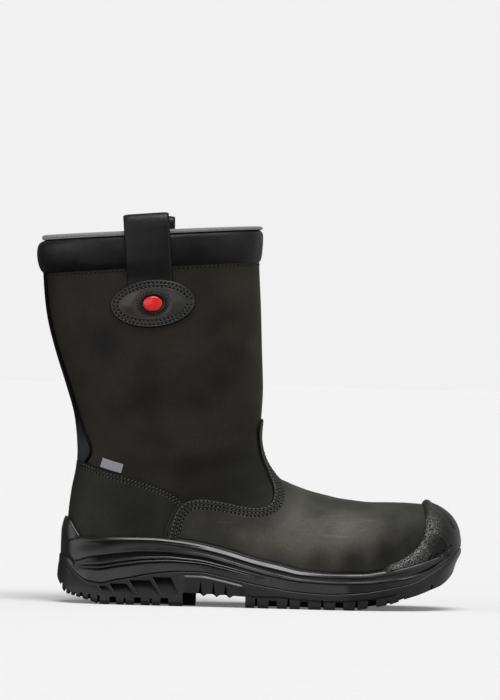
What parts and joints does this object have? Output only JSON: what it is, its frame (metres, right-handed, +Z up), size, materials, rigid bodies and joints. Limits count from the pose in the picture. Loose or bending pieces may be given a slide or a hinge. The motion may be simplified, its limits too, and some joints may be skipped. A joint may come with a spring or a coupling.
{
  "type": "work boot",
  "caption": "Pull-on leather work boot with padded cuff, two pull loops, rubber toe cap and lugged sole, worn on the right foot.",
  "frame": {"origin": "middle of the boot's bounding box, on the floor", "axes": "+X towards the toe, +Y towards the inner side, +Z up"},
  "size_m": [0.3296, 0.1118, 0.303],
  "materials": {
    "rubber": "satin moulded",
    "foam": "satin moulded polyurethane",
    "cap_rubber": "moulded, grained lip",
    "footbed": "matt",
    "leather": "oiled, fine grain",
    "vamp_leather": "oiled, fine grain",
    "counter_leather": "oiled, fine grain",
    "strip_leather": "oiled, fine grain",
    "cuff_leather": "padded, fine grain",
    "lining": "matt textile",
    "strap_leather": "smooth",
    "medial_strap": "smooth",
    "patch_leather": "smooth, sewn",
    "medial_patch": "smooth, sewn",
    "badge_red": "glossy dome",
    "tag_weave": "woven"
  },
  "bodies": {
    "root": {"outsole": "rubber", "midsole": "foam", "toe_cap": "cap_rubber", "insole": "footbed", "upper": "leather", "vamp": "vamp_leather", "counter": "counter_leather", "back_strip": "strip_leather", "cuff": "cuff_leather", "lining_rim": "lining", "pull_loop_lateral": "strap_leather", "pull_loop_medial": "medial_strap", "loop_patch_lateral": "patch_leather", "loop_patch_medial": "medial_patch", "badge": "badge_red", "side_tag": "tag_weave"}
  },
  "joints": []
}
